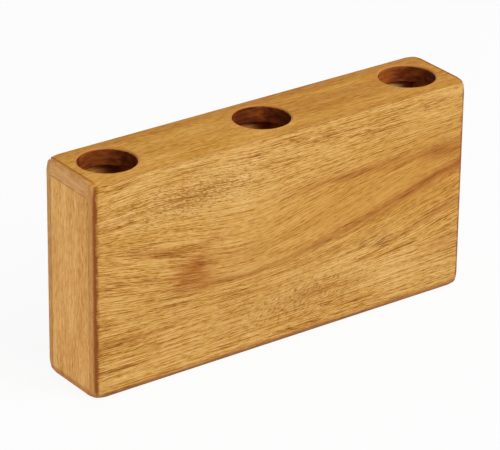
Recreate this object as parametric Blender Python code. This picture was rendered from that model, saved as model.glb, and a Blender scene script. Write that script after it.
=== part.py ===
"""Didgeridoo box: a slim wooden case that folds a long air column behind three holes.

Metres, +Z up. X runs along the box and -Y is its front.
The origin lies on the ground under the middle of the box.
"""

import math

import bmesh
import bpy
from mathutils import Vector

# Outer size
LENGTH = 0.325
HEIGHT = 0.165
EDGE_RADIUS = 0.003

# Board thicknesses, the rebate that lets each end board into the top board, and the glue line
PANEL_THICKNESS = 0.0065
TOP_THICKNESS = 0.013
BOTTOM_THICKNESS = 0.007
END_THICKNESS = 0.007
PARTITION_THICKNESS = 0.005
END_REBATE = 0.0014
GLUE_LINE = 0.0003

# Holes along the top, the wood left beside each one, and the most of it that a rim may take
HOLE_COUNT = 3
HOLE_DIAMETER = 0.042
HOLE_RIM_RADIUS = 0.0015
HOLE_SIDE_WOOD = 0.0022
RIM_SHARE = 0.7

# Folded air column: a wide lane under each hole, plain lanes between them
HOLE_LANE_MARGIN = 0.0035
LANES_BETWEEN_HOLES = 2
TURN_GAP = 0.034
GROOVE_DEPTH = 0.002

# Facets of the rounded edges and of the holes
EDGE_SEGMENTS = 5
HOLE_SEGMENTS = 72
RIM_SEGMENTS = 4
RIM_SWEEP = math.radians(75)
ROUND_PROFILE = 0.5

# How far a cutter stands out of the wood, and how close two points count as one
CUT_OVERRUN = 0.002
NEAR = 0.000001

# Colours and finish of the wood
PANEL_COLOUR = (0.59, 0.30, 0.077)
TOP_COLOUR = (0.55, 0.26, 0.055)
END_COLOUR = (0.60, 0.31, 0.095)
INNER_COLOUR = (0.45, 0.22, 0.070)
LACQUERED = 0.38
BARE = 0.62

# Depth of the box, front to back, around the holes
BOARD_DEPTH = HOLE_DIAMETER + 2 * HOLE_SIDE_WOOD
INNER_DEPTH = BOARD_DEPTH + 2 * GLUE_LINE
DEPTH = INNER_DEPTH + 2 * PANEL_THICKNESS

# Lanes of the air column, left to right
BAYS = HOLE_COUNT - 1
PARTITIONS_PER_BAY = LANES_BETWEEN_HOLES + 1
INNER_LENGTH = LENGTH - 2 * END_THICKNESS
HOLE_LANE = HOLE_DIAMETER + 2 * HOLE_LANE_MARGIN
LANES_LEFT_OVER = INNER_LENGTH - HOLE_COUNT * HOLE_LANE - BAYS * PARTITIONS_PER_BAY * PARTITION_THICKNESS
PLAIN_LANE = LANES_LEFT_OVER / (BAYS * LANES_BETWEEN_HOLES)
PARTITION_PITCH = PLAIN_LANE + PARTITION_THICKNESS
HOLE_PITCH = HOLE_LANE + LANES_BETWEEN_HOLES * PLAIN_LANE + PARTITIONS_PER_BAY * PARTITION_THICKNESS

# Heights of the inner faces of the bottom board and the top board, and of the end boards' rebates
INNER_FLOOR = BOTTOM_THICKNESS
INNER_CEILING = HEIGHT - TOP_THICKNESS
REBATE_CEILING = INNER_CEILING + END_REBATE


def wood(name, colour, roughness):
    """A plain wood finish."""
    finish = bpy.data.materials.new(name)
    finish.use_nodes = True
    shader = finish.node_tree.nodes["Principled BSDF"]
    shader.inputs["Base Color"].default_value = (*colour, 1.0)
    shader.inputs["Roughness"].default_value = roughness
    shader.inputs["Metallic"].default_value = 0.0
    return finish


def block(low, high):
    """A new bmesh holding one box between two corners."""
    low = Vector(low)
    high = Vector(high)
    shape = bmesh.new()
    bmesh.ops.create_cube(shape, size=1.0)
    bmesh.ops.scale(shape, vec=high - low, verts=shape.verts)
    bmesh.ops.translate(shape, vec=(low + high) / 2, verts=shape.verts)
    return shape


def round_outer_edges(shape, outer):
    """Round each edge whose midpoint the test picks as an outer edge of the box."""
    picked = [edge for edge in shape.edges if outer((edge.verts[0].co + edge.verts[1].co) / 2)]
    bmesh.ops.bevel(
        shape,
        geom=picked,
        offset=EDGE_RADIUS,
        segments=EDGE_SEGMENTS,
        profile=ROUND_PROFILE,
        affect="EDGES",
    )


def place(name, shape, parent=None, finish=None):
    """Turn a bmesh into a named object; one without a finish is a cutter."""
    mesh = bpy.data.meshes.new(name)
    bmesh.ops.recalc_face_normals(shape, faces=shape.faces)
    shape.to_mesh(mesh)
    shape.free()
    piece = bpy.data.objects.new(name, mesh)
    piece.parent = parent
    bpy.context.scene.collection.objects.link(piece)
    if finish:
        mesh.materials.append(finish)
    else:
        piece.hide_render = True
        piece.display_type = "WIRE"
    return piece


def cut(piece, cutter):
    """Cut one object out of another."""
    boolean = piece.modifiers.new(cutter.name, "BOOLEAN")
    boolean.operation = "DIFFERENCE"
    boolean.solver = "EXACT"
    boolean.object = cutter


def hole_places():
    """X of each hole, left to right."""
    return [(index - (HOLE_COUNT - 1) / 2) * HOLE_PITCH for index in range(HOLE_COUNT)]


def partition_places():
    """X of each partition's middle, left to right, and whether it hangs from the top board."""
    places = []
    for hole_x in hole_places()[:-1]:
        first_x = hole_x + HOLE_LANE / 2 + PARTITION_THICKNESS / 2
        for index in range(PARTITIONS_PER_BAY):
            places.append((first_x + index * PARTITION_PITCH, index % 2 == 0))
    return places


def partition_span(hangs):
    """Lowest and highest point of a partition, which leaves a turn open at its free end."""
    if hangs:
        return INNER_FLOOR + TURN_GAP, INNER_CEILING - GLUE_LINE
    return INNER_FLOOR + GLUE_LINE, INNER_CEILING - TURN_GAP


def panel(name, side, parent, finish):
    """A long panel of full length and height, with a groove for each partition; side is -1 or 1."""
    inner_y = side * INNER_DEPTH / 2
    outer_y = side * DEPTH / 2
    shape = block(
        (-LENGTH / 2, min(inner_y, outer_y), 0),
        (LENGTH / 2, max(inner_y, outer_y), HEIGHT),
    )
    round_outer_edges(shape, lambda middle: abs(middle.y) > INNER_DEPTH / 2 + NEAR)
    piece = place(name, shape, parent, finish)
    groove_bottom = side * (INNER_DEPTH / 2 + GROOVE_DEPTH)
    groove_mouth = side * (INNER_DEPTH / 2 - CUT_OVERRUN)
    for number, (x, hangs) in enumerate(partition_places(), 1):
        low, high = partition_span(hangs)
        half_width = PARTITION_THICKNESS / 2 + GLUE_LINE
        groove = block(
            (x - half_width, min(groove_bottom, groove_mouth), low - GLUE_LINE),
            (x + half_width, max(groove_bottom, groove_mouth), high + GLUE_LINE),
        )
        cut(piece, place(f"{name}_groove_{number}", groove, parent))
    return piece


def hole_cutter(x, parent, number):
    """A turned cutter for one hole, flaring over a rounded rim at the top."""
    radius = HOLE_DIAMETER / 2
    rim = min(HOLE_RIM_RADIUS, RIM_SHARE * HOLE_SIDE_WOOD)
    foot = INNER_CEILING - CUT_OVERRUN
    profile = [Vector((0, 0, foot)), Vector((radius, 0, foot))]
    for step in range(RIM_SEGMENTS + 1):
        angle = RIM_SWEEP * step / RIM_SEGMENTS
        out = rim * (1 - math.cos(angle))
        down = rim * (1 - math.sin(angle))
        profile.append(Vector((radius + out, 0, HEIGHT - down)))
    runout = profile[-1] + rim * Vector((math.sin(RIM_SWEEP), 0, math.cos(RIM_SWEEP)))
    profile += [runout, Vector((0, 0, runout.z))]
    shape = bmesh.new()
    corners = [shape.verts.new(point) for point in profile]
    edges = [shape.edges.new(pair) for pair in zip(corners, corners[1:])]
    bmesh.ops.spin(
        shape,
        geom=corners + edges,
        cent=(0, 0, 0),
        axis=(0, 0, 1),
        angle=2 * math.pi,
        steps=HOLE_SEGMENTS,
        use_merge=True,
    )
    bmesh.ops.remove_doubles(shape, verts=shape.verts, dist=NEAR)
    bmesh.ops.translate(shape, vec=(x, 0, 0), verts=shape.verts)
    return place(f"hole_cutter_{number}", shape, parent)


def rebate_cutter(name, side, parent):
    """A cutter for the rebate over one end board; side is -1 or 1."""
    inner_x = side * (INNER_LENGTH / 2 - GLUE_LINE)
    outer_x = side * (LENGTH / 2 + CUT_OVERRUN)
    half_depth = BOARD_DEPTH / 2 + CUT_OVERRUN
    shape = block(
        (min(inner_x, outer_x), -half_depth, INNER_CEILING - CUT_OVERRUN),
        (max(inner_x, outer_x), half_depth, REBATE_CEILING),
    )
    return place(name, shape, parent)


def top_board(parent, finish):
    """The thick top board between the panels, as long as the box, with its rebates and its row of holes."""
    shape = block(
        (-LENGTH / 2, -BOARD_DEPTH / 2, INNER_CEILING),
        (LENGTH / 2, BOARD_DEPTH / 2, HEIGHT),
    )
    round_outer_edges(
        shape,
        lambda middle: abs(middle.x) > LENGTH / 2 - NEAR and middle.z > HEIGHT - NEAR,
    )
    piece = place("top_board", shape, parent, finish)
    cut(piece, rebate_cutter("left_rebate", -1, parent))
    cut(piece, rebate_cutter("right_rebate", 1, parent))
    for number, x in enumerate(hole_places(), 1):
        cut(piece, hole_cutter(x, parent, number))
    return piece


def end_board(name, side, parent, finish):
    """An end board between the panels, let into the top board; side is -1 or 1."""
    inner_x = side * INNER_LENGTH / 2
    outer_x = side * LENGTH / 2
    shape = block(
        (min(inner_x, outer_x), -BOARD_DEPTH / 2, 0),
        (max(inner_x, outer_x), BOARD_DEPTH / 2, REBATE_CEILING - GLUE_LINE),
    )
    round_outer_edges(
        shape,
        lambda middle: abs(middle.x) > LENGTH / 2 - NEAR and middle.z < NEAR,
    )
    return place(name, shape, parent, finish)


def bottom_board(parent, finish):
    """The bottom board, hidden between the panels and the end boards."""
    half_length = INNER_LENGTH / 2 - GLUE_LINE
    shape = block(
        (-half_length, -BOARD_DEPTH / 2, 0),
        (half_length, BOARD_DEPTH / 2, BOTTOM_THICKNESS),
    )
    return place("bottom_board", shape, parent, finish)


def partition(number, x, hangs, parent, finish):
    """One thin inner wall, held in the grooves of both panels."""
    low, high = partition_span(hangs)
    half_depth = INNER_DEPTH / 2 + GROOVE_DEPTH - GLUE_LINE
    shape = block(
        (x - PARTITION_THICKNESS / 2, -half_depth, low),
        (x + PARTITION_THICKNESS / 2, half_depth, high),
    )
    return place(f"partition_{number}", shape, parent, finish)


def main():
    for old in list(bpy.data.objects):
        bpy.data.objects.remove(old, do_unlink=True)

    box = bpy.data.objects.new("didgeridoo_box", None)
    bpy.context.scene.collection.objects.link(box)

    panel_wood = wood("panel_wood", PANEL_COLOUR, LACQUERED)
    panel("front_panel", -1, box, panel_wood)
    panel("back_panel", 1, box, panel_wood)

    top_board(box, wood("top_wood", TOP_COLOUR, LACQUERED))

    end_wood = wood("end_wood", END_COLOUR, LACQUERED)
    end_board("left_end", -1, box, end_wood)
    end_board("right_end", 1, box, end_wood)

    inner_wood = wood("inner_wood", INNER_COLOUR, BARE)
    bottom_board(box, inner_wood)
    for number, (x, hangs) in enumerate(partition_places(), 1):
        partition(number, x, hangs, box, inner_wood)


main()
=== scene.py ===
import math
from collections import namedtuple

import bpy
from mathutils import Matrix, Vector


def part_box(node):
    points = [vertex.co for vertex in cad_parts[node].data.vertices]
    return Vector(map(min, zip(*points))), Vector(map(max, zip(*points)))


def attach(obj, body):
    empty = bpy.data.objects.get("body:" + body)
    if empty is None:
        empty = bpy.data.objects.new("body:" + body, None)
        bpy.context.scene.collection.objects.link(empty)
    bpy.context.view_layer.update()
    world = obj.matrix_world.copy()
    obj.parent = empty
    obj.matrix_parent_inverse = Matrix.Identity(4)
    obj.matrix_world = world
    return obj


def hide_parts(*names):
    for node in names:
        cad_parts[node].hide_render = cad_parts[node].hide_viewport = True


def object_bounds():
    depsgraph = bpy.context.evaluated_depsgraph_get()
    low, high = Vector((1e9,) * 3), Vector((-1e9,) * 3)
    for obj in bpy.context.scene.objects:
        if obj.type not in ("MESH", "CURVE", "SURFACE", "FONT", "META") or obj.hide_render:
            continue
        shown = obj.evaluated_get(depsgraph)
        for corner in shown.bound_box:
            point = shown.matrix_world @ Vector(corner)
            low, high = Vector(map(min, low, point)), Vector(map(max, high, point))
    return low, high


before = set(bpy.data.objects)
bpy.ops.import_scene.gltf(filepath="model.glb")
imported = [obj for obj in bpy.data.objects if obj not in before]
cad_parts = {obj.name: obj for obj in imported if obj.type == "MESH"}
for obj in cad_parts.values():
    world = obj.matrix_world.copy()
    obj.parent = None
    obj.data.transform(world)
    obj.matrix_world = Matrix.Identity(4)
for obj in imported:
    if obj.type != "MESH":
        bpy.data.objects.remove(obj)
CAD_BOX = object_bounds()

# Body that carries every board, and where the two boxes are written
BODY = "root"

# Sizes of the box, from the frame
FRONT_LOW, FRONT_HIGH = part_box("front_panel")
BACK_LOW, BACK_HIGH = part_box("back_panel")
TOP_LOW, TOP_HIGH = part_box("top_board")
END_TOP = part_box("left_end")[1].z
LENGTH = CAD_BOX[1].x - CAD_BOX[0].x
DEPTH = CAD_BOX[1].y - CAD_BOX[0].y
HEIGHT = CAD_BOX[1].z - CAD_BOX[0].z
MIDDLE = Vector((0, 0, HEIGHT / 2))
INNER_FRONT = FRONT_HIGH.y
INNER_BACK = BACK_LOW.y

# Rounded edges, and the fine arris and gap of a seam, in metres
EDGE_RADIUS = 0.003
EDGE_SEGMENTS = 10
SEAM_ARRIS = 0.00025
SEAM_SEGMENTS = 2
SEAM_GAP = 0.00012
ROUND_PROFILE = 0.5

# Inner walls, and the play of each one in its grooves
PARTITIONS = [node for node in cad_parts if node.startswith("partition")]
GROOVE_GAP = 0.0003

# Corners eased by hand sanding: how far it reaches, how deep it goes, how fast it fades
CORNER_REACH = 0.011
LEFT_FRONT_EASE = 0.0030
RIGHT_FRONT_EASE = 0.0020
BACK_EASE = 0.0025
CORNER_FADE = 1.5
CORNER_SLICES = (0.004, 0.005, 0.0062, 0.0078, 0.0096)

# Holes of the top board
HOLE_RADIUS = 0.021
HOLE_PITCH = 0.131
HOLE_PLACES = (-HOLE_PITCH, 0.0, HOLE_PITCH)
HOLE_SEGMENTS = 128
HOLE_RIM = 0.0015
HOLE_RIM_SEGMENTS = 6
HOLE_TOLERANCE = 0.00015
CUT_OVERRUN = 0.004

# How close two places count as one, the angle that still shades smooth, and a board's other finish
NEAR = 0.00001
SMOOTH_ANGLE = math.radians(35)
SECOND_FINISH = 1

# Camera at the photograph's viewing angle
CAMERA_AZIMUTH = math.radians(-36.404)
CAMERA_ELEVATION = math.radians(25.402)
CAMERA_ROLL = math.radians(0.708)
CAMERA_DISTANCE = 2.3278
CAMERA_ASIDE = 0.00714
CAMERA_ABOVE = 0.00191
CAMERA_LENS = 233.98
CAMERA_SENSOR = 36.0

# Soft studio light: white surroundings, a high front lamp and low lamps for the ends and the back
Lamp = namedtuple("Lamp", "name place size power")
LAMPS = (
    Lamp("front_lamp", (0.40, -1.42, 1.78), 1.5, 45.9),
    Lamp("left_lamp", (-1.80, -0.25, 0.14), 0.28, 14.8),
    Lamp("right_lamp", (1.80, 0.25, 0.14), 0.28, 12.0),
    Lamp("back_lamp", (0.25, 1.80, 0.14), 0.28, 13.0),
)
SURROUNDINGS = 0.28
WHITE = (1.0, 1.0, 1.0, 1.0)

# Floor: its size and place, its pale surface, and the rays that see it nearly white
FLOOR_SIZE = 30.0
FLOOR_DROP = 0.0002
FLOOR_COLOUR = (0.75, 0.75, 0.75, 1.0)
FLOOR_ROUGHNESS = 0.9
FLOOR_GLOSS = 0.0
FLOOR_GLOW = 1.0
FLOOR_WHITENESS = 0.92
WHITE_RAYS = ("Is Camera Ray", "Is Glossy Ray", "Is Transmission Ray")

# From here to the finishes, lengths are in millimetres
MM = 1000.0
HALF_LENGTH = LENGTH / 2 * MM
HALF_DEPTH = DEPTH / 2 * MM
TOP = HEIGHT * MM
SEAM_DEPTH = INNER_BACK * MM
SEAM_HEIGHT = END_TOP * MM

# Soft limits of a mask: none at the first value, full at the second
Fade = namedtuple("Fade", "none full")

# A soft spot on a face: its middle along and across, its reach each way, its strength and its slope
Spot = namedtuple("Spot", "along height half_length half_height strength slope", defaults=(0.0,))

# A reddish band: its height in the grain, its half width, its raggedness, its start and its strength
Band = namedtuple("Band", "height half_width raggedness sets_in strength")

# Noise along the grain: its length, its height across the face, its depth into the wood, its detail
Figure = namedtuple("Figure", "length height depth detail")
BROAD_SHADE = Figure(70, 9, 12, 2)
STREAK = Figure(36, 1.7, 3, 2)
GROWTH_LINE = Figure(110, 6, 8, 2)
HAIRLINE = Figure(48, 0.65, 1.0, 1)
FIBRE = Figure(5.5, 0.6, 0.9, 1)
LONG_FLECK = Figure(9, 0.6, 0.9, 1)
SHORT_FLECK = Figure(3.8, 0.8, 1.2, 1)
EDGE_MOTTLE = Figure(6, 3.0, 3.0, 3)
END_FLECK = Figure(5, 1.2, 1.5, 2)
END_FIBRE = Figure(7, 1.1, 2.0, 2)
WOBBLE = Figure(26, 9, 12, 2)
SLOW_WOBBLE = Figure(130, 60, 60, 1)
STAIN_CLOUD = Figure(14, 5, 3, 3)
MOTTLE = Figure(3, 3, 3, 2)

# Middle of every noise, taken off so that it swings around 0
NOISE_MIDDLE = 0.5

# How much each figure counts in the tone of a wood
Shares = namedtuple("Shares", "broad streak hair fibre line")
FACE_SHARES = Shares(0.5, 0.34, 1.25, 0.95, 0.18)
TOP_SHARES = Shares(0.4, 0.45, 0.55, 1.05, 0.08)
END_SHARES = Shares(0.8, 0.3, 0.4, 1.25, 0.0)
MIDDLE_TONE = 0.53
LINE_WIDTH = 0.016

# Where each wood's noise is read, so that no two boards look alike
FRONT_SEED = 0.0
BACK_SEED = 40.0
TOP_SEED = 70.0
END_SEED = 90.0
INNER_SEED = 120.0
BASE_SEED = 150.0

# Front figure: the grain falls to a turn and climbs from there, most of all at mid height
GRAIN_TURN = 133
TURN_SOFTNESS = 22
GRAIN_FALL = 0.20
GRAIN_CLIMB = 0.47
GRAIN_REST = 24.0
CLIMB_HEIGHT = 89
CLIMB_REACH = 34
CLIMB_STEPS = 4

# Front figure: a hump in the grain at the upper left, a lift at the lower right, and a wobble
HUMP = Spot(65, 148, 55, 26, 5.0)
LIFT = Spot(290, 62, 35, 14, 4.0)
FRONT_WOBBLE = 1.6

# Front figure: a reddish band along the grain, and reddish patches and lines across it
RED_BAND = Band(74.5, 3.0, 5, Fade(80, 120), 0.62)
BAND_DEEPENS = Fade(220, 315)
BAND_WIDENS = 0.5
RED_PATCHES = (
    Spot(81, 77, 17, 13, 0.80),
    Spot(90, 82, 4, 14, 0.55),
    Spot(72, 70, 5, 6, 0.45),
    Spot(98, 66, 18, 4, 0.40),
    Spot(100, 100, 12, 4, 0.40),
    Spot(57, 98, 20, 4, 0.70, -0.25),
    Spot(120, 79, 28, 11, 0.25),
    Spot(30, 40, 38, 2.0, 0.62),
    Spot(28, 20, 34, 1.4, 0.40),
    Spot(180, 30, 34, 1.8, 0.35),
    Spot(40, 134, 60, 1.6, 0.35, 0.10),
    Spot(222, 116, 56, 3.4, 0.68),
    Spot(310, 114, 28, 6.0, 0.70),
    Spot(300, 65, 34, 2.4, 0.75, 0.26),
    Spot(312, 38, 18, 9.0, 0.35),
)
RED_RAGGEDNESS = 40
RED_VARIATION = 2.0

# Front figure: lighter and darker, cool, warm and calm places
TONE_PATCHES = (
    Spot(120, 117, 34, 16, 0.03),
    Spot(255, 38, 62, 22, 0.06),
    Spot(4, 80, 10, 110, -0.06),
    Spot(215, 95, 80, 25, -0.02),
    Spot(300, 105, 40, 50, -0.02),
)
COOL_PATCHES = (
    Spot(110, 138, 95, 28, 0.50),
    Spot(205, 26, 130, 30, 0.20),
)
WARM_RIGHT = Spot(270, 98, 130, 32, 0.72)
CALM_PATCHES = (
    Spot(200, 92, 80, 21, 0.42),
    Spot(100, 126, 60, 18, 0.42),
    Spot(180, 36, 58, 13, 0.35),
    Spot(295, 100, 42, 50, 0.25),
)

# Front figure: places of long flecks along the grain, and fields of short ones with their slant
LONG_FLECK_SPOTS = (
    Spot(16, 85, 12, 5, 1.5),
    Spot(44, 81, 9, 5, 1.5),
    Spot(40, 108, 26, 8, 1.3),
    Spot(60, 53, 36, 6, 1.0),
    Spot(240, 57, 24, 7, 1.8),
    Spot(140, 152, 24, 5, 1.0),
    Spot(197, 151, 18, 6, 1.5),
    Spot(243, 144, 22, 5, 1.6),
    Spot(290, 153, 16, 5, 1.5),
)
UPPER_FLECKS = Spot(86, 135, 66, 17, 1.9)
UPPER_SLANT = -0.2
LOWER_FLECKS = Spot(176, 31, 74, 19, 1.6)
LOWER_SLANT = 0.4

# Back figure: how far the grain wanders, and a reddish band along it
BACK_WOBBLE = 14
BACK_BAND_HEIGHT = 62
BACK_BAND_HALF_WIDTH = 5
BACK_BAND_STRENGTH = 0.5

# Flecks: their share between the front's places and on the other woods, and how they stand out
FLECK_SPARSE = -0.8
FLECK_EVEN = 0.0
FLECK_GAIN = 0.12
FLECK_FADE = Fade(0.60, 0.68)

# Display values: the highest, and the curve that leads to linear light
DISPLAY_TOP = 255
CURVE_OFFSET = 0.055
CURVE_POWER = 2.4


def paint(red, green, blue):
    """A colour in linear light from its display values, 0 to 255."""
    display = (red / DISPLAY_TOP, green / DISPLAY_TOP, blue / DISPLAY_TOP)
    return (*(((part + CURVE_OFFSET) / (1 + CURVE_OFFSET)) ** CURVE_POWER for part in display), 1.0)


# Colours of the woods, dark to pale
FACE_TONES = (
    (0.00, paint(124, 66, 2)),
    (0.28, paint(168, 112, 28)),
    (0.50, paint(205, 157, 80)),
    (0.72, paint(217, 173, 103)),
    (1.00, paint(232, 194, 130)),
)
TOP_TONES = (
    (0.00, paint(150, 84, 4)),
    (0.30, paint(193, 129, 32)),
    (0.52, paint(216, 158, 64)),
    (0.75, paint(227, 174, 90)),
    (1.00, paint(237, 190, 114)),
)
END_TONES = (
    (0.00, paint(154, 98, 24)),
    (0.32, paint(191, 135, 58)),
    (0.53, paint(207, 154, 78)),
    (1.00, paint(229, 182, 112)),
)
PANEL_END_TONES = (
    (0.00, paint(134, 80, 20)),
    (0.50, paint(176, 121, 52)),
    (1.00, paint(208, 158, 94)),
)
TOP_END_TONES = (
    (0.00, paint(146, 92, 38)),
    (0.50, paint(188, 134, 73)),
    (1.00, paint(218, 171, 118)),
)
STAIN_TONES = (
    (0.00, paint(62, 24, 14)),
    (0.50, paint(118, 54, 22)),
    (1.00, paint(180, 98, 38)),
)
INNER_TONES = (
    (0.00, paint(156, 88, 32)),
    (0.45, paint(192, 116, 50)),
    (0.78, paint(208, 138, 66)),
    (1.00, paint(240, 192, 126)),
)
WARM_TINT = (0.905, 0.80, 0.55, 1.0)
RED_TINT = (0.63, 0.40, 0.17, 1.0)
BROWN_FLECK = paint(124, 64, 2)
EDGE_STAIN = paint(122, 57, 0)
# Painted shade: darkens the panels' upper rounding, where the front lamp would light it most
ROUND_PAINTED_SHADE = (0.70, 0.64, 0.54, 1.0)
RIM_WOOD = paint(200, 134, 62)

# Warmth of the woods and strength of their flecks
FACE_WARMTH = 0.42
LONG_FLECK_STRENGTH = 0.7
SHORT_FLECK_STRENGTH = 0.62
TOP_FLECK_STRENGTH = 0.35
END_FLECK_STRENGTH = 0.35

# Stain that gathers on the rounded edges: from the face, from each end and from the foot
STAIN_TURN = Fade(2.8, 0.8)
LEFT_STAIN = Fade(4.8, 1.7)
RIGHT_STAIN = Fade(4.0, 1.2)
FOOT_STAIN = Fade(6.4, 1.8)
END_FOOT_STAIN = Fade(7.0, 4.5)
STAIN_STRENGTH = 0.95
FOOT_STRENGTH = 0.75
STAIN_RAGGEDNESS = 4.5

# Borders of the top: its wood takes over on the panels' rounding, which gets painted shade there, and a
# dark line ends it
TOP_TAKES_OVER = Fade(TOP - 2.2, TOP - 0.3)
ROUND_PAINTED_SHADE_FADE = Fade(3.2, 1.0)
END_GRAIN_FADE = Fade(3.0, 2.3)
END_LINE = 3.3
END_LINE_WIDTH = 0.9

# Redness of the top: towards the back and the right, in fine streaks, in long bands and in a darker place
# behind the right hole
TOP_REDDENS = Fade(4, 28)
TOP_REDDENS_ALONG = Fade(-60, 50)
TOP_REDNESS = 0.26
TOP_RED_STREAKS = 2.0
TOP_RED_PLACES = (
    Spot(297, 17, 15, 5, 1.2),
    Spot(100, 23, 110, 6, 1.0),
    Spot(170, 2, 150, 4, 0.9),
    Spot(240, 3, 45, 4, 0.6),
    Spot(170, -8, 150, 5, 0.7),
    Spot(225, 14, 60, 4, -1.0),
    Spot(165, -21, 170, 4, -0.5),
)
TOP_WOBBLE = 2.0

# Ends: their redness, plain and in upright streaks, and the dark seams round them
END_REDNESS = 0.15
END_RED_STREAKS = 0.5
SEAM_FADE = Fade(0.9, 0.2)
SEAM_STRENGTH = 0.35

# Stain in the holes: how cloudy it is, painted light and shade on the walls of each hole, and how it is
# rubbed off the rims
CLOUDINESS = 1.4
# Painted light on the left walls of the left and right holes, painted shade on the middle hole's wall
HOLE_PAINTED_LIGHT_AND_SHADE = (
    Spot(26, 18, 12, 10, 0.18),
    Spot(160, 18, 14, 10, -0.12),
    Spot(286, 17, 10, 10, 0.50),
)
RIM_FADE = Fade(TOP - 1.7, TOP - 0.8)
RIM_RAGGEDNESS = 0.8
RIM_STRENGTH = 0.9

# Bare wood inside: painted light below the right hole
INSIDE_PAINTED_LIGHT = Spot(298, 146, 16, 14, 0.6)

# Finishes: gloss, and relief with its depth in metres
GLOSS_LEVEL = 0.2
LACQUERED = 0.45
BARE = 0.65
GLOSS_VARIATION = 0.16
RELIEF_STRENGTH = 0.25
RELIEF_DEPTH = 0.00012
FLECK_DEPTH = 0.15

# Inputs of a colour mix, and the output that gives the colour
MIX_FACTOR = 0
MIX_FIRST = 6
MIX_SECOND = 7
MIX_RESULT = 2


class Socket:
    """One output of a shader node, which plain arithmetic joins to Math nodes."""

    def __init__(self, tree, output):
        self.tree = tree
        self.output = output

    def node(self, kind, inputs, output=0, stops=None, **settings):
        """Add a node, set it up, join its inputs, and give one of its outputs back."""
        made = self.tree.nodes.new(kind)
        for name, value in settings.items():
            setattr(made, name, value)
        if stops:
            set_stops(made.color_ramp, stops)
        for key, value in inputs.items():
            if isinstance(value, Socket):
                self.tree.links.new(value.output, made.inputs[key])
            else:
                made.inputs[key].default_value = value
        return Socket(self.tree, made.outputs[output])

    def math(self, operation, *values):
        """A Math node on the values, or on this socket alone."""
        return self.node("ShaderNodeMath", dict(enumerate(values or [self])), operation=operation)

    def __add__(self, other):
        return self.math("ADD", self, other)

    def __radd__(self, other):
        return self.math("ADD", other, self)

    def __sub__(self, other):
        return self.math("SUBTRACT", self, other)

    def __rsub__(self, other):
        return self.math("SUBTRACT", other, self)

    def __mul__(self, other):
        return self.math("MULTIPLY", self, other)

    def __rmul__(self, other):
        return self.math("MULTIPLY", other, self)

    def __truediv__(self, other):
        return self.math("DIVIDE", self, other)

    def __neg__(self):
        return self.math("MULTIPLY", self, -1.0)


def set_stops(ramp, stops):
    """Give a colour ramp its stops, each a place and a colour."""
    while len(ramp.elements) < len(stops):
        ramp.elements.new(1.0)
    for element, (place, colour) in zip(ramp.elements, stops):
        element.position = place
        element.color = colour


def bell(value, centre, width):
    """1 at the centre, falling away over the width on both sides."""
    offset = (value - centre) / width
    return (-(offset * offset)).math("EXPONENT")


def rise(value, fade):
    """0 at the first limit of a fade, 1 at the second, smooth between."""
    return value.node(
        "ShaderNodeMapRange",
        {"Value": value, "From Min": fade.none, "From Max": fade.full},
        interpolation_type="SMOOTHSTEP",
    )


def hinge(value, softness):
    """0 below zero and the value above it, with a soft bend between."""
    return (value + (value * value + softness * softness).math("SQRT")) / 2


def spots(along, height, places):
    """The sum of some soft spots."""
    shares = []
    for place in places:
        level = height - place.slope * (along - place.along) if place.slope else height
        middle = bell(along, place.along, place.half_length) * bell(level, place.height, place.half_height)
        shares.append(place.strength * middle)
    return sum(shares[1:], shares[0])


def point(x, y, z):
    """A vector from three numbers."""
    return x.node("ShaderNodeCombineXYZ", {"X": x, "Y": y, "Z": z})


def figure_noise(grain, figure, seed):
    """Noise around 0, stretched along the grain."""
    along, height, depth = grain
    place = point(along / figure.length, height / figure.height + seed, depth / figure.depth)
    settings = {"Vector": place, "Scale": 1.0, "Detail": figure.detail}
    return place.node("ShaderNodeTexNoise", settings) - NOISE_MIDDLE


def mix(factor, first, second, blend_type="MIX"):
    """The first colour, turned to the second by a factor."""
    return first.node(
        "ShaderNodeMix",
        {MIX_FACTOR: factor, MIX_FIRST: first, MIX_SECOND: second},
        output=MIX_RESULT,
        data_type="RGBA",
        blend_type=blend_type,
        clamp_factor=True,
    )


def tones(value, stops):
    """A colour from a ramp."""
    return value.node("ShaderNodeValToRGB", {"Fac": value}, stops=stops)


def new_finish(name):
    """A new material, its Principled shader, and its X, Y and Z in millimetres."""
    finish = bpy.data.materials.new(name)
    finish.use_nodes = True
    tree = finish.node_tree
    shader = tree.nodes["Principled BSDF"]
    shader.inputs["Specular IOR Level"].default_value = GLOSS_LEVEL
    place = Socket(tree, tree.nodes.new("ShaderNodeTexCoord").outputs["Object"])
    axes = tree.nodes.new("ShaderNodeSeparateXYZ")
    tree.links.new(place.output, axes.inputs[0])
    return finish, shader, [Socket(tree, axis) * MM for axis in axes.outputs]


def connect(shader, socket_name, value):
    """Feed one input of a shader."""
    value.tree.links.new(value.output, shader.inputs[socket_name])


def dress(shader, colour, relief, gloss):
    """Join a colour, a fine relief and a varying gloss to a shader."""
    connect(shader, "Base Color", colour)
    connect(shader, "Roughness", gloss)
    bump = relief.node(
        "ShaderNodeBump",
        {"Height": relief, "Strength": RELIEF_STRENGTH, "Distance": RELIEF_DEPTH},
    )
    connect(shader, "Normal", bump)


def lacquer(grain, seed):
    """Roughness of a lacquered wood."""
    return LACQUERED + GLOSS_VARIATION * figure_noise(grain, STREAK, seed)


def wood_figure(grain, shares, seed):
    """Figure of a wood around 0, from its broad shades to its single fibres."""
    line = bell(figure_noise(grain, GROWTH_LINE, seed), 0.0, LINE_WIDTH)
    return (
        shares.broad * figure_noise(grain, BROAD_SHADE, seed)
        + shares.streak * figure_noise(grain, STREAK, seed)
        + shares.hair * figure_noise(grain, HAIRLINE, seed)
        + shares.fibre * figure_noise(grain, FIBRE, seed)
        - shares.line * line
    )


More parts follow.
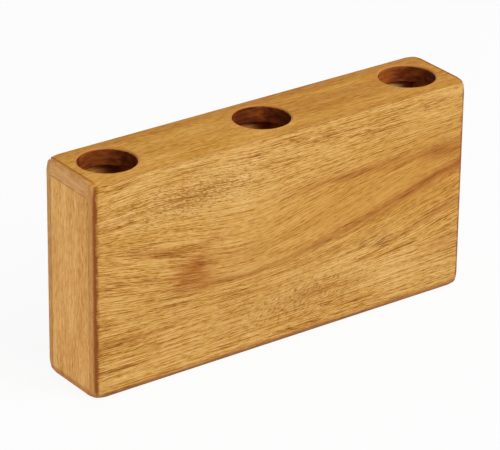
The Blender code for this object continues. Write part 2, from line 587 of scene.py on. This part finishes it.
def wood_tone(grain, shares, seed):
    """Tone of a wood, about 0.5 in the middle."""
    return MIDDLE_TONE + wood_figure(grain, shares, seed)


def flecks(grain, figure, share, seed):
    """Short dark dashes along the grain, more of them where the share is high."""
    return rise(figure_noise(grain, figure, seed) + (NOISE_MIDDLE + FLECK_GAIN * share), FLECK_FADE)


def slanted_flecks(along, y, z, spot, slant):
    """Short dashes inside a spot, slanted to the box."""
    share = FLECK_SPARSE + spots(along, z, (spot,))
    return flecks((along, z - slant * along, y), SHORT_FLECK, share, FRONT_SEED)


def end_grain(along, across, depth, stops):
    """Colour of cut fibres at the end of a board."""
    tone = MIDDLE_TONE + figure_noise((along, across, depth), END_FIBRE, END_SEED)
    return tones(tone, stops)


def from_ends(x):
    """Distance to the nearer end of the box."""
    return HALF_LENGTH - x.math("ABSOLUTE")


def top_colour(x, y, z):
    """Straight orange-brown wood of the top, reddish in places, with end grain past a dark line."""
    grain = (x, y + TOP_WOBBLE * figure_noise((x, y, z), WOBBLE, TOP_SEED), z)
    colour = tones(wood_tone(grain, TOP_SHARES, TOP_SEED), TOP_TONES)
    redness = rise(y, TOP_REDDENS) + rise(x, TOP_REDDENS_ALONG)
    redness = redness + spots(x + HALF_LENGTH, grain[1], TOP_RED_PLACES)
    redness = redness + TOP_RED_STREAKS * figure_noise(grain, STREAK, END_SEED)
    colour = mix(TOP_REDNESS * redness, colour, RED_TINT, "MULTIPLY")
    fleck = flecks(grain, LONG_FLECK, FLECK_EVEN, TOP_SEED)
    colour = mix(TOP_FLECK_STRENGTH * fleck, colour, BROWN_FLECK)
    gap = from_ends(x)
    colour = mix(rise(gap, END_GRAIN_FADE), colour, end_grain(y, z, x, TOP_END_TONES))
    return mix(bell(gap, END_LINE, END_LINE_WIDTH), colour, RED_TINT, "MULTIPLY")


def lift(along, z, spot):
    """How far the grain steps up on its way past a spot."""
    step = 1 + ((along - spot.along) / spot.half_length).math("TANH")
    return spot.strength * step * bell(z, spot.height, spot.half_height)


def front_grain(along, y, z):
    """The front's grain, which falls to a turn and climbs from there, followed back in short steps."""
    past = along - GRAIN_TURN
    climb = GRAIN_CLIMB * hinge(past, TURN_SOFTNESS) - GRAIN_FALL * past - GRAIN_REST
    level = z + FRONT_WOBBLE * figure_noise((along, z, y), WOBBLE, FRONT_SEED)
    level = level - spots(along, z, (HUMP,)) - lift(along, z, LIFT)
    for _ in range(CLIMB_STEPS):
        level = level - climb / CLIMB_STEPS * bell(level, CLIMB_HEIGHT, CLIMB_REACH)
    return along, level, y


def front_redness(grain, z):
    """Where the front turns reddish: a band along the grain, and patches and lines across it."""
    along, height = grain[:2]
    feather = figure_noise(grain, STREAK, BACK_SEED)
    deeper = 1 + BAND_WIDENS * rise(along, BAND_DEEPENS)
    level = height + RED_BAND.raggedness * feather
    band = bell(level, RED_BAND.height, RED_BAND.half_width * deeper)
    band = RED_BAND.strength * deeper * band * rise(along, RED_BAND.sets_in)
    redness = band + spots(along + RED_RAGGEDNESS * feather, z, RED_PATCHES)
    return redness * (1 + RED_VARIATION * feather)


def finish_panel(shader, colour, relief, gloss, x, y, z):
    """Add a panel's borders: end grain, stained edges, the top's wood along its upper edge and painted
    shade on that rounding.
    """
    from_face = HALF_DEPTH - y.math("ABSOLUTE")
    ragged = STAIN_RAGGEDNESS * figure_noise((z, x, y), EDGE_MOTTLE, END_SEED)
    left = rise(HALF_LENGTH + x + ragged, LEFT_STAIN)
    right = rise(HALF_LENGTH - x + ragged, RIGHT_STAIN)
    on_round = rise(from_face, STAIN_TURN)
    cut_end = rise(from_ends(x), END_GRAIN_FADE) * (1 - on_round)
    colour = mix(cut_end, colour, end_grain(z, y, x, PANEL_END_TONES))
    stain = on_round * left.math("MAXIMUM", left, right)
    stain = stain.math("MAXIMUM", stain, FOOT_STRENGTH * rise(z, FOOT_STAIN))
    colour = mix(STAIN_STRENGTH * stain, colour, EDGE_STAIN)
    colour = mix(rise(z, TOP_TAKES_OVER), colour, top_colour(x, y, z))
    # Painted shade on the panels' upper rounding
    painted_shade_on_top_round = rise(TOP - z, ROUND_PAINTED_SHADE_FADE) * rise(from_face, ROUND_PAINTED_SHADE_FADE)
    colour = mix(painted_shade_on_top_round, colour, ROUND_PAINTED_SHADE, "MULTIPLY")
    dress(shader, colour, relief, gloss)


def front_wood():
    """Figured golden wood of the front, lacquered."""
    finish, shader, (x, y, z) = new_finish("figured_front_wood")
    along = x + HALF_LENGTH
    grain = front_grain(along, y, z)
    figure = wood_figure(grain, FACE_SHARES, FRONT_SEED) * (1 - spots(along, z, CALM_PATCHES))
    tone = MIDDLE_TONE + figure + spots(along, z, TONE_PATCHES)
    warmth = FACE_WARMTH + spots(along, z, (WARM_RIGHT,)) - spots(along, z, COOL_PATCHES)
    colour = mix(warmth, tones(tone, FACE_TONES), WARM_TINT, "MULTIPLY")
    colour = mix(front_redness(grain, z), colour, RED_TINT, "MULTIPLY")
    share = FLECK_SPARSE + spots(along, z, LONG_FLECK_SPOTS)
    long_fleck = flecks(grain, LONG_FLECK, share, FRONT_SEED)
    upper_fleck = slanted_flecks(along, y, z, UPPER_FLECKS, UPPER_SLANT)
    lower_fleck = slanted_flecks(along, y, z, LOWER_FLECKS, LOWER_SLANT)
    short_fleck = upper_fleck.math("MAXIMUM", upper_fleck, lower_fleck)
    colour = mix(LONG_FLECK_STRENGTH * long_fleck, colour, BROWN_FLECK)
    colour = mix(SHORT_FLECK_STRENGTH * short_fleck, colour, BROWN_FLECK)
    relief = figure_noise(grain, FIBRE, FRONT_SEED) - FLECK_DEPTH * (long_fleck + short_fleck)
    finish_panel(shader, colour, relief, lacquer(grain, FRONT_SEED), x, y, z)
    return finish


def back_wood():
    """Plainer golden wood of the back, lacquered."""
    finish, shader, (x, y, z) = new_finish("plain_back_wood")
    along = HALF_LENGTH - x
    level = z + BACK_WOBBLE * figure_noise((along, z, y), SLOW_WOBBLE, BACK_SEED)
    grain = (along, level, y)
    tone = wood_tone(grain, FACE_SHARES, BACK_SEED)
    colour = mix(FACE_WARMTH, tones(tone, FACE_TONES), WARM_TINT, "MULTIPLY")
    band = BACK_BAND_STRENGTH * bell(level, BACK_BAND_HEIGHT, BACK_BAND_HALF_WIDTH)
    colour = mix(band, colour, RED_TINT, "MULTIPLY")
    fleck = flecks(grain, LONG_FLECK, FLECK_EVEN, BACK_SEED)
    colour = mix(LONG_FLECK_STRENGTH * fleck, colour, BROWN_FLECK)
    relief = figure_noise(grain, FIBRE, BACK_SEED) - FLECK_DEPTH * fleck
    finish_panel(shader, colour, relief, lacquer(grain, BACK_SEED), x, y, z)
    return finish


def top_wood():
    """The top board's wood, lacquered."""
    finish, shader, (x, y, z) = new_finish("straight_top_wood")
    grain = (x, y, z)
    relief = figure_noise(grain, FIBRE, TOP_SEED)
    dress(shader, top_colour(x, y, z), relief, lacquer(grain, TOP_SEED))
    return finish


def end_wood():
    """Upright fine-grained wood of the ends, lacquered, with dark seams and a stained foot."""
    finish, shader, (x, y, z) = new_finish("upright_end_wood")
    grain = (z, y, x)
    colour = tones(wood_tone(grain, END_SHARES, END_SEED), END_TONES)
    fleck = flecks(grain, END_FLECK, FLECK_EVEN, END_SEED)
    colour = mix(END_FLECK_STRENGTH * fleck, colour, BROWN_FLECK)
    redness = END_REDNESS + END_RED_STREAKS * figure_noise(grain, BROAD_SHADE, TOP_SEED)
    colour = mix(redness, colour, RED_TINT, "MULTIPLY")
    beside = SEAM_DEPTH - y.math("ABSOLUTE")
    seam = rise(beside.math("MINIMUM", beside, SEAM_HEIGHT - z), SEAM_FADE)
    colour = mix(SEAM_STRENGTH * seam, colour, EDGE_STAIN)
    colour = mix(FOOT_STRENGTH * rise(z, END_FOOT_STAIN), colour, RED_TINT, "MULTIPLY")
    relief = figure_noise(grain, FIBRE, END_SEED) - FLECK_DEPTH * fleck
    dress(shader, colour, relief, lacquer(grain, END_SEED))
    return finish


def hole_stain():
    """Dark reddish stain on the walls of the holes, with painted light and shade on them, rubbed back to
    bare wood at the rims.
    """
    finish, shader, (x, y, z) = new_finish("hole_stain")
    grain = (x, y, z)
    cloud = figure_noise(grain, STAIN_CLOUD, TOP_SEED)
    rim = rise(z + RIM_RAGGEDNESS * figure_noise(grain, MOTTLE, TOP_SEED), RIM_FADE)
    # The spots paint light and shade onto the hole walls
    tone = MIDDLE_TONE + CLOUDINESS * cloud + spots(x + HALF_LENGTH, y, HOLE_PAINTED_LIGHT_AND_SHADE)
    colour = mix(RIM_STRENGTH * rim, tones(tone, STAIN_TONES), RIM_WOOD)
    dress(shader, colour, cloud, LACQUERED + GLOSS_VARIATION * cloud)
    return finish


def base_wood():
    """Plain golden wood of the underside, lacquered."""
    finish, shader, (x, y, z) = new_finish("plain_base_wood")
    grain = (x, y, z)
    tone = wood_tone(grain, FACE_SHARES, BASE_SEED)
    colour = mix(FACE_WARMTH, tones(tone, FACE_TONES), WARM_TINT, "MULTIPLY")
    dress(shader, colour, figure_noise(grain, FIBRE, BASE_SEED), lacquer(grain, BASE_SEED))
    return finish


def inner_wood():
    """Bare wood inside the box, with painted light below the right hole."""
    finish, shader, (x, y, z) = new_finish("bare_inner_wood")
    grain = (x, z, y)
    # Painted light on the inner wood below the right hole
    tone = wood_tone(grain, FACE_SHARES, INNER_SEED) + spots(x + HALF_LENGTH, z, (INSIDE_PAINTED_LIGHT,))
    colour = tones(tone, INNER_TONES)
    fibre = figure_noise(grain, FIBRE, INNER_SEED)
    dress(shader, colour, fibre, BARE + GLOSS_VARIATION * fibre)
    return finish


def board(name, low, high):
    """A plain board between two corners, its place in its mesh."""
    bpy.ops.object.select_all(action="DESELECT")
    bpy.ops.mesh.primitive_cube_add(size=1, location=(low + high) / 2, scale=high - low)
    bpy.ops.object.transform_apply(location=True, rotation=True, scale=True)
    piece = bpy.context.object
    piece.name = name
    piece.data.name = name
    return piece


def make_active(piece):
    """Select one piece alone."""
    bpy.ops.object.select_all(action="DESELECT")
    piece.select_set(True)
    bpy.context.view_layer.objects.active = piece


def round_edges(piece, picked, radius, segments):
    """Bevel the edges whose midpoint the test picks."""
    bpy.ops.object.mode_set(mode="EDIT")
    bpy.ops.mesh.select_mode(type="EDGE")
    bpy.ops.mesh.select_all(action="DESELECT")
    bpy.ops.object.mode_set(mode="OBJECT")
    corners = piece.data.vertices
    for edge in piece.data.edges:
        first, second = (corners[index].co for index in edge.vertices)
        edge.select = picked((first + second) / 2)
    bpy.ops.object.mode_set(mode="EDIT")
    bpy.ops.mesh.bevel(offset=radius, segments=segments, profile=ROUND_PROFILE)
    bpy.ops.object.mode_set(mode="OBJECT")


def slice_near_corners():
    """Cut the active board across near the corners of the box, where its points are to be eased."""
    bpy.ops.object.mode_set(mode="EDIT")
    limits = ((-LENGTH / 2, LENGTH / 2), (-DEPTH / 2, DEPTH / 2), (0, HEIGHT))
    for axis, (low, high) in enumerate(limits):
        across = Vector((0, 0, 0))
        across[axis] = 1
        for step in CORNER_SLICES:
            for place in (low + step, high - step):
                bpy.ops.mesh.select_all(action="SELECT")
                bpy.ops.mesh.bisect(plane_co=across * place, plane_no=across)
    bpy.ops.object.mode_set(mode="OBJECT")


def ease_corners(piece):
    """Draw the points near the box's corners inwards, as hand sanding does."""
    for corner in piece.data.vertices:
        place = corner.co
        side = Vector((
            math.copysign(1, place.x),
            math.copysign(1, place.y),
            math.copysign(1, place.z - HEIGHT / 2),
        ))
        gaps = (
            LENGTH / 2 - abs(place.x),
            DEPTH / 2 - abs(place.y),
            HEIGHT / 2 - abs(place.z - HEIGHT / 2),
        )
        share = math.prod(max(0.0, 1 - gap / CORNER_REACH) for gap in gaps) ** CORNER_FADE
        front_ease = LEFT_FRONT_EASE if place.x < 0 else RIGHT_FRONT_EASE
        ease = front_ease if place.y < 0 else BACK_EASE
        corner.co = place - ease * share * side.normalized()


def finish_board(piece, node, slot, *finishes):
    """Ease and shade a board, give it its finishes, and let it stand for its CAD node."""
    make_active(piece)
    slice_near_corners()
    ease_corners(piece)
    bpy.ops.object.shade_smooth_by_angle(angle=SMOOTH_ANGLE)
    weighted = piece.modifiers.new("even_shading", "WEIGHTED_NORMAL")
    weighted.keep_sharp = True
    bpy.ops.object.modifier_apply(modifier=weighted.name)
    for finish in finishes:
        piece.data.materials.append(finish)
    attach(piece, BODY)
    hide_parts(node)
    return piece


def give_second_finish(piece, picked):
    """Give the faces that the test picks the second finish of a piece."""
    for face in piece.data.polygons:
        if picked(face):
            face.material_index = SECOND_FINISH


def cut_out(piece, plug):
    """Cut a plug's shape out of a board."""
    boolean = piece.modifiers.new("cut", "BOOLEAN")
    boolean.object = plug
    boolean.solver = "EXACT"
    make_active(piece)
    bpy.ops.object.modifier_apply(modifier=boolean.name)
    bpy.data.objects.remove(plug, do_unlink=True)


def cut_grooves(piece):
    """Cut the grooves that hold the partitions."""
    gap = Vector((GROOVE_GAP, GROOVE_GAP, GROOVE_GAP))
    for node in PARTITIONS:
        low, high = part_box(node)
        cut_out(piece, board("groove", low - gap, high + gap))


def face_board(name, node, low, high, wood, inside):
    """A long face board, rounded on all its outer edges, grooved and bare inside."""
    inner = min(abs(low.y), abs(high.y))
    piece = board(name, low, high)
    round_edges(piece, lambda middle: abs(middle.y) > inner + NEAR, EDGE_RADIUS, EDGE_SEGMENTS)
    cut_grooves(piece)
    finish_board(piece, node, "panel_wood", wood, inside)
    give_second_finish(piece, lambda face: abs(abs(face.center.y) - inner) < NEAR)
    return piece


def cut_rebate(piece, node):
    """Cut the rebate that takes the upper edge of an end board."""
    low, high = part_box(node)
    side = Vector((SEAM_GAP, DEPTH / 2, 0))
    cut_out(piece, board("rebate", low - side, high + side + Vector((0, 0, SEAM_GAP))))


def cut_hole(piece, x):
    """Cut one hole through a board."""
    bpy.ops.object.select_all(action="DESELECT")
    bpy.ops.mesh.primitive_cylinder_add(
        vertices=HOLE_SEGMENTS,
        radius=HOLE_RADIUS,
        depth=TOP_HIGH.z - TOP_LOW.z + CUT_OVERRUN,
        location=(x, 0, (TOP_HIGH.z + TOP_LOW.z) / 2),
    )
    bpy.ops.object.transform_apply(location=True, rotation=True, scale=True)
    cut_out(piece, bpy.context.object)


def hole_distance(place, x):
    """Distance from a point to the axis of the hole at x, seen from above."""
    return math.hypot(place.x - x, place.y)


def on_rim(place):
    """Whether a point lies on the upper edge of a hole."""
    return place.z > HEIGHT - NEAR and any(
        abs(hole_distance(place, x) - HOLE_RADIUS) < HOLE_TOLERANCE for x in HOLE_PLACES
    )


def top_hole_board(wood, stain):
    """The top board with its rebates, its three holes and their rounded rims."""
    low = Vector((TOP_LOW.x, INNER_FRONT, TOP_LOW.z))
    high = Vector((TOP_HIGH.x, INNER_BACK, TOP_HIGH.z))
    piece = board("top_hole_board", low, high)
    round_edges(
        piece,
        lambda middle: abs(middle.x) > LENGTH / 2 - NEAR and middle.z > HEIGHT - NEAR,
        EDGE_RADIUS,
        EDGE_SEGMENTS,
    )
    cut_rebate(piece, "left_end")
    cut_rebate(piece, "right_end")
    for x in HOLE_PLACES:
        cut_hole(piece, x)
    round_edges(piece, on_rim, HOLE_RIM, HOLE_RIM_SEGMENTS)
    finish_board(piece, "top_board", "top_wood", wood, stain)
    corners = piece.data.vertices
    mouth = HOLE_RADIUS + HOLE_RIM + NEAR
    give_second_finish(
        piece,
        lambda face: any(
            all(hole_distance(corners[index].co, x) < mouth for index in face.vertices)
            for x in HOLE_PLACES
        ),
    )
    return piece


def end_board(name, node, wood):
    """One end board, rounded along its foot, with a fine arris along its seams."""
    low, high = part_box(node)
    low.y = INNER_FRONT + SEAM_GAP
    high.y = INNER_BACK - SEAM_GAP
    piece = board(name, low, high)
    outer = LENGTH / 2 - NEAR
    round_edges(
        piece,
        lambda middle: abs(middle.x) > outer and middle.z < NEAR,
        EDGE_RADIUS,
        EDGE_SEGMENTS,
    )
    round_edges(
        piece,
        lambda middle: abs(middle.x) > outer - EDGE_RADIUS
        and (abs(middle.y) > high.y - NEAR or middle.z > high.z - NEAR),
        SEAM_ARRIS,
        SEAM_SEGMENTS,
    )
    return finish_board(piece, node, "end_wood", wood)


def dress_cad_node(node, finish):
    """Give a CAD node that stays its own finish."""
    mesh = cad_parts[node].data
    mesh.materials.clear()
    mesh.materials.append(finish)


def floor():
    """A plain pale floor, which reads as white and keeps the shadow."""
    bpy.ops.object.select_all(action="DESELECT")
    bpy.ops.mesh.primitive_plane_add(size=FLOOR_SIZE, location=(0, 0, -FLOOR_DROP))
    ground = bpy.context.object
    ground.name = "studio_floor"
    finish = bpy.data.materials.new("pale_floor")
    finish.use_nodes = True
    tree = finish.node_tree
    shader = tree.nodes["Principled BSDF"]
    shader.inputs["Base Color"].default_value = FLOOR_COLOUR
    shader.inputs["Roughness"].default_value = FLOOR_ROUGHNESS
    shader.inputs["Specular IOR Level"].default_value = FLOOR_GLOSS
    path = tree.nodes.new("ShaderNodeLightPath")
    rays = [Socket(tree, path.outputs[name]) for name in WHITE_RAYS]
    factor = FLOOR_WHITENESS * sum(rays[1:], rays[0])
    plain = Socket(tree, shader.outputs[0])
    white = plain.node("ShaderNodeEmission", {"Color": WHITE, "Strength": FLOOR_GLOW})
    both = plain.node("ShaderNodeMixShader", dict(enumerate((factor, plain, white))))
    tree.links.new(both.output, tree.nodes["Material Output"].inputs["Surface"])
    ground.data.materials.append(finish)


def studio_light(lamp, aim):
    """A soft square lamp, turned to its aim."""
    light = bpy.data.lights.new(lamp.name, "AREA")
    light.shape = "SQUARE"
    light.size = lamp.size
    light.energy = lamp.power
    holder = bpy.data.objects.new(lamp.name, light)
    bpy.context.scene.collection.objects.link(holder)
    holder.location = lamp.place
    holder.rotation_euler = (aim - Vector(lamp.place)).to_track_quat("-Z", "Y").to_euler()


def studio():
    """White surroundings and soft lamps at a plain level."""
    world = bpy.data.worlds.new("studio")
    world.use_nodes = True
    background = world.node_tree.nodes["Background"]
    background.inputs["Color"].default_value = WHITE
    background.inputs["Strength"].default_value = SURROUNDINGS
    bpy.context.scene.world = world
    for lamp in LAMPS:
        studio_light(lamp, MIDDLE)


def camera():
    """A long lens at the photograph's viewing angle."""
    back = Vector((
        math.sin(CAMERA_AZIMUTH) * math.cos(CAMERA_ELEVATION),
        -math.cos(CAMERA_AZIMUTH) * math.cos(CAMERA_ELEVATION),
        math.sin(CAMERA_ELEVATION),
    ))
    level = Vector((0, 0, 1)).cross(back).normalized()
    upright = back.cross(level)
    right = level * math.cos(CAMERA_ROLL) + upright * math.sin(CAMERA_ROLL)
    up = upright * math.cos(CAMERA_ROLL) - level * math.sin(CAMERA_ROLL)
    lens = bpy.data.cameras.new("photo_camera")
    lens.lens = CAMERA_LENS
    lens.sensor_width = CAMERA_SENSOR
    holder = bpy.data.objects.new("photo_camera", lens)
    bpy.context.scene.collection.objects.link(holder)
    place = MIDDLE + CAMERA_DISTANCE * back - CAMERA_ASIDE * right - CAMERA_ABOVE * up
    turn = Matrix((right, up, back)).transposed().to_4x4()
    holder.matrix_world = Matrix.Translation(place) @ turn
    bpy.context.scene.camera = holder


def main():
    """Build the boards, then the studio and the camera."""
    inside = inner_wood()
    upright = end_wood()
    face_board("front_face_board", "front_panel", FRONT_LOW, FRONT_HIGH, front_wood(), inside)
    face_board("back_face_board", "back_panel", BACK_LOW, BACK_HIGH, back_wood(), inside)
    top_hole_board(top_wood(), hole_stain())
    end_board("left_end_board", "left_end", upright)
    end_board("right_end_board", "right_end", upright)
    dress_cad_node("bottom_board", base_wood())
    for node in PARTITIONS:
        dress_cad_node(node, inside)

    floor()
    studio()
    camera()
    bpy.context.scene.view_settings.view_transform = "Standard"


main()
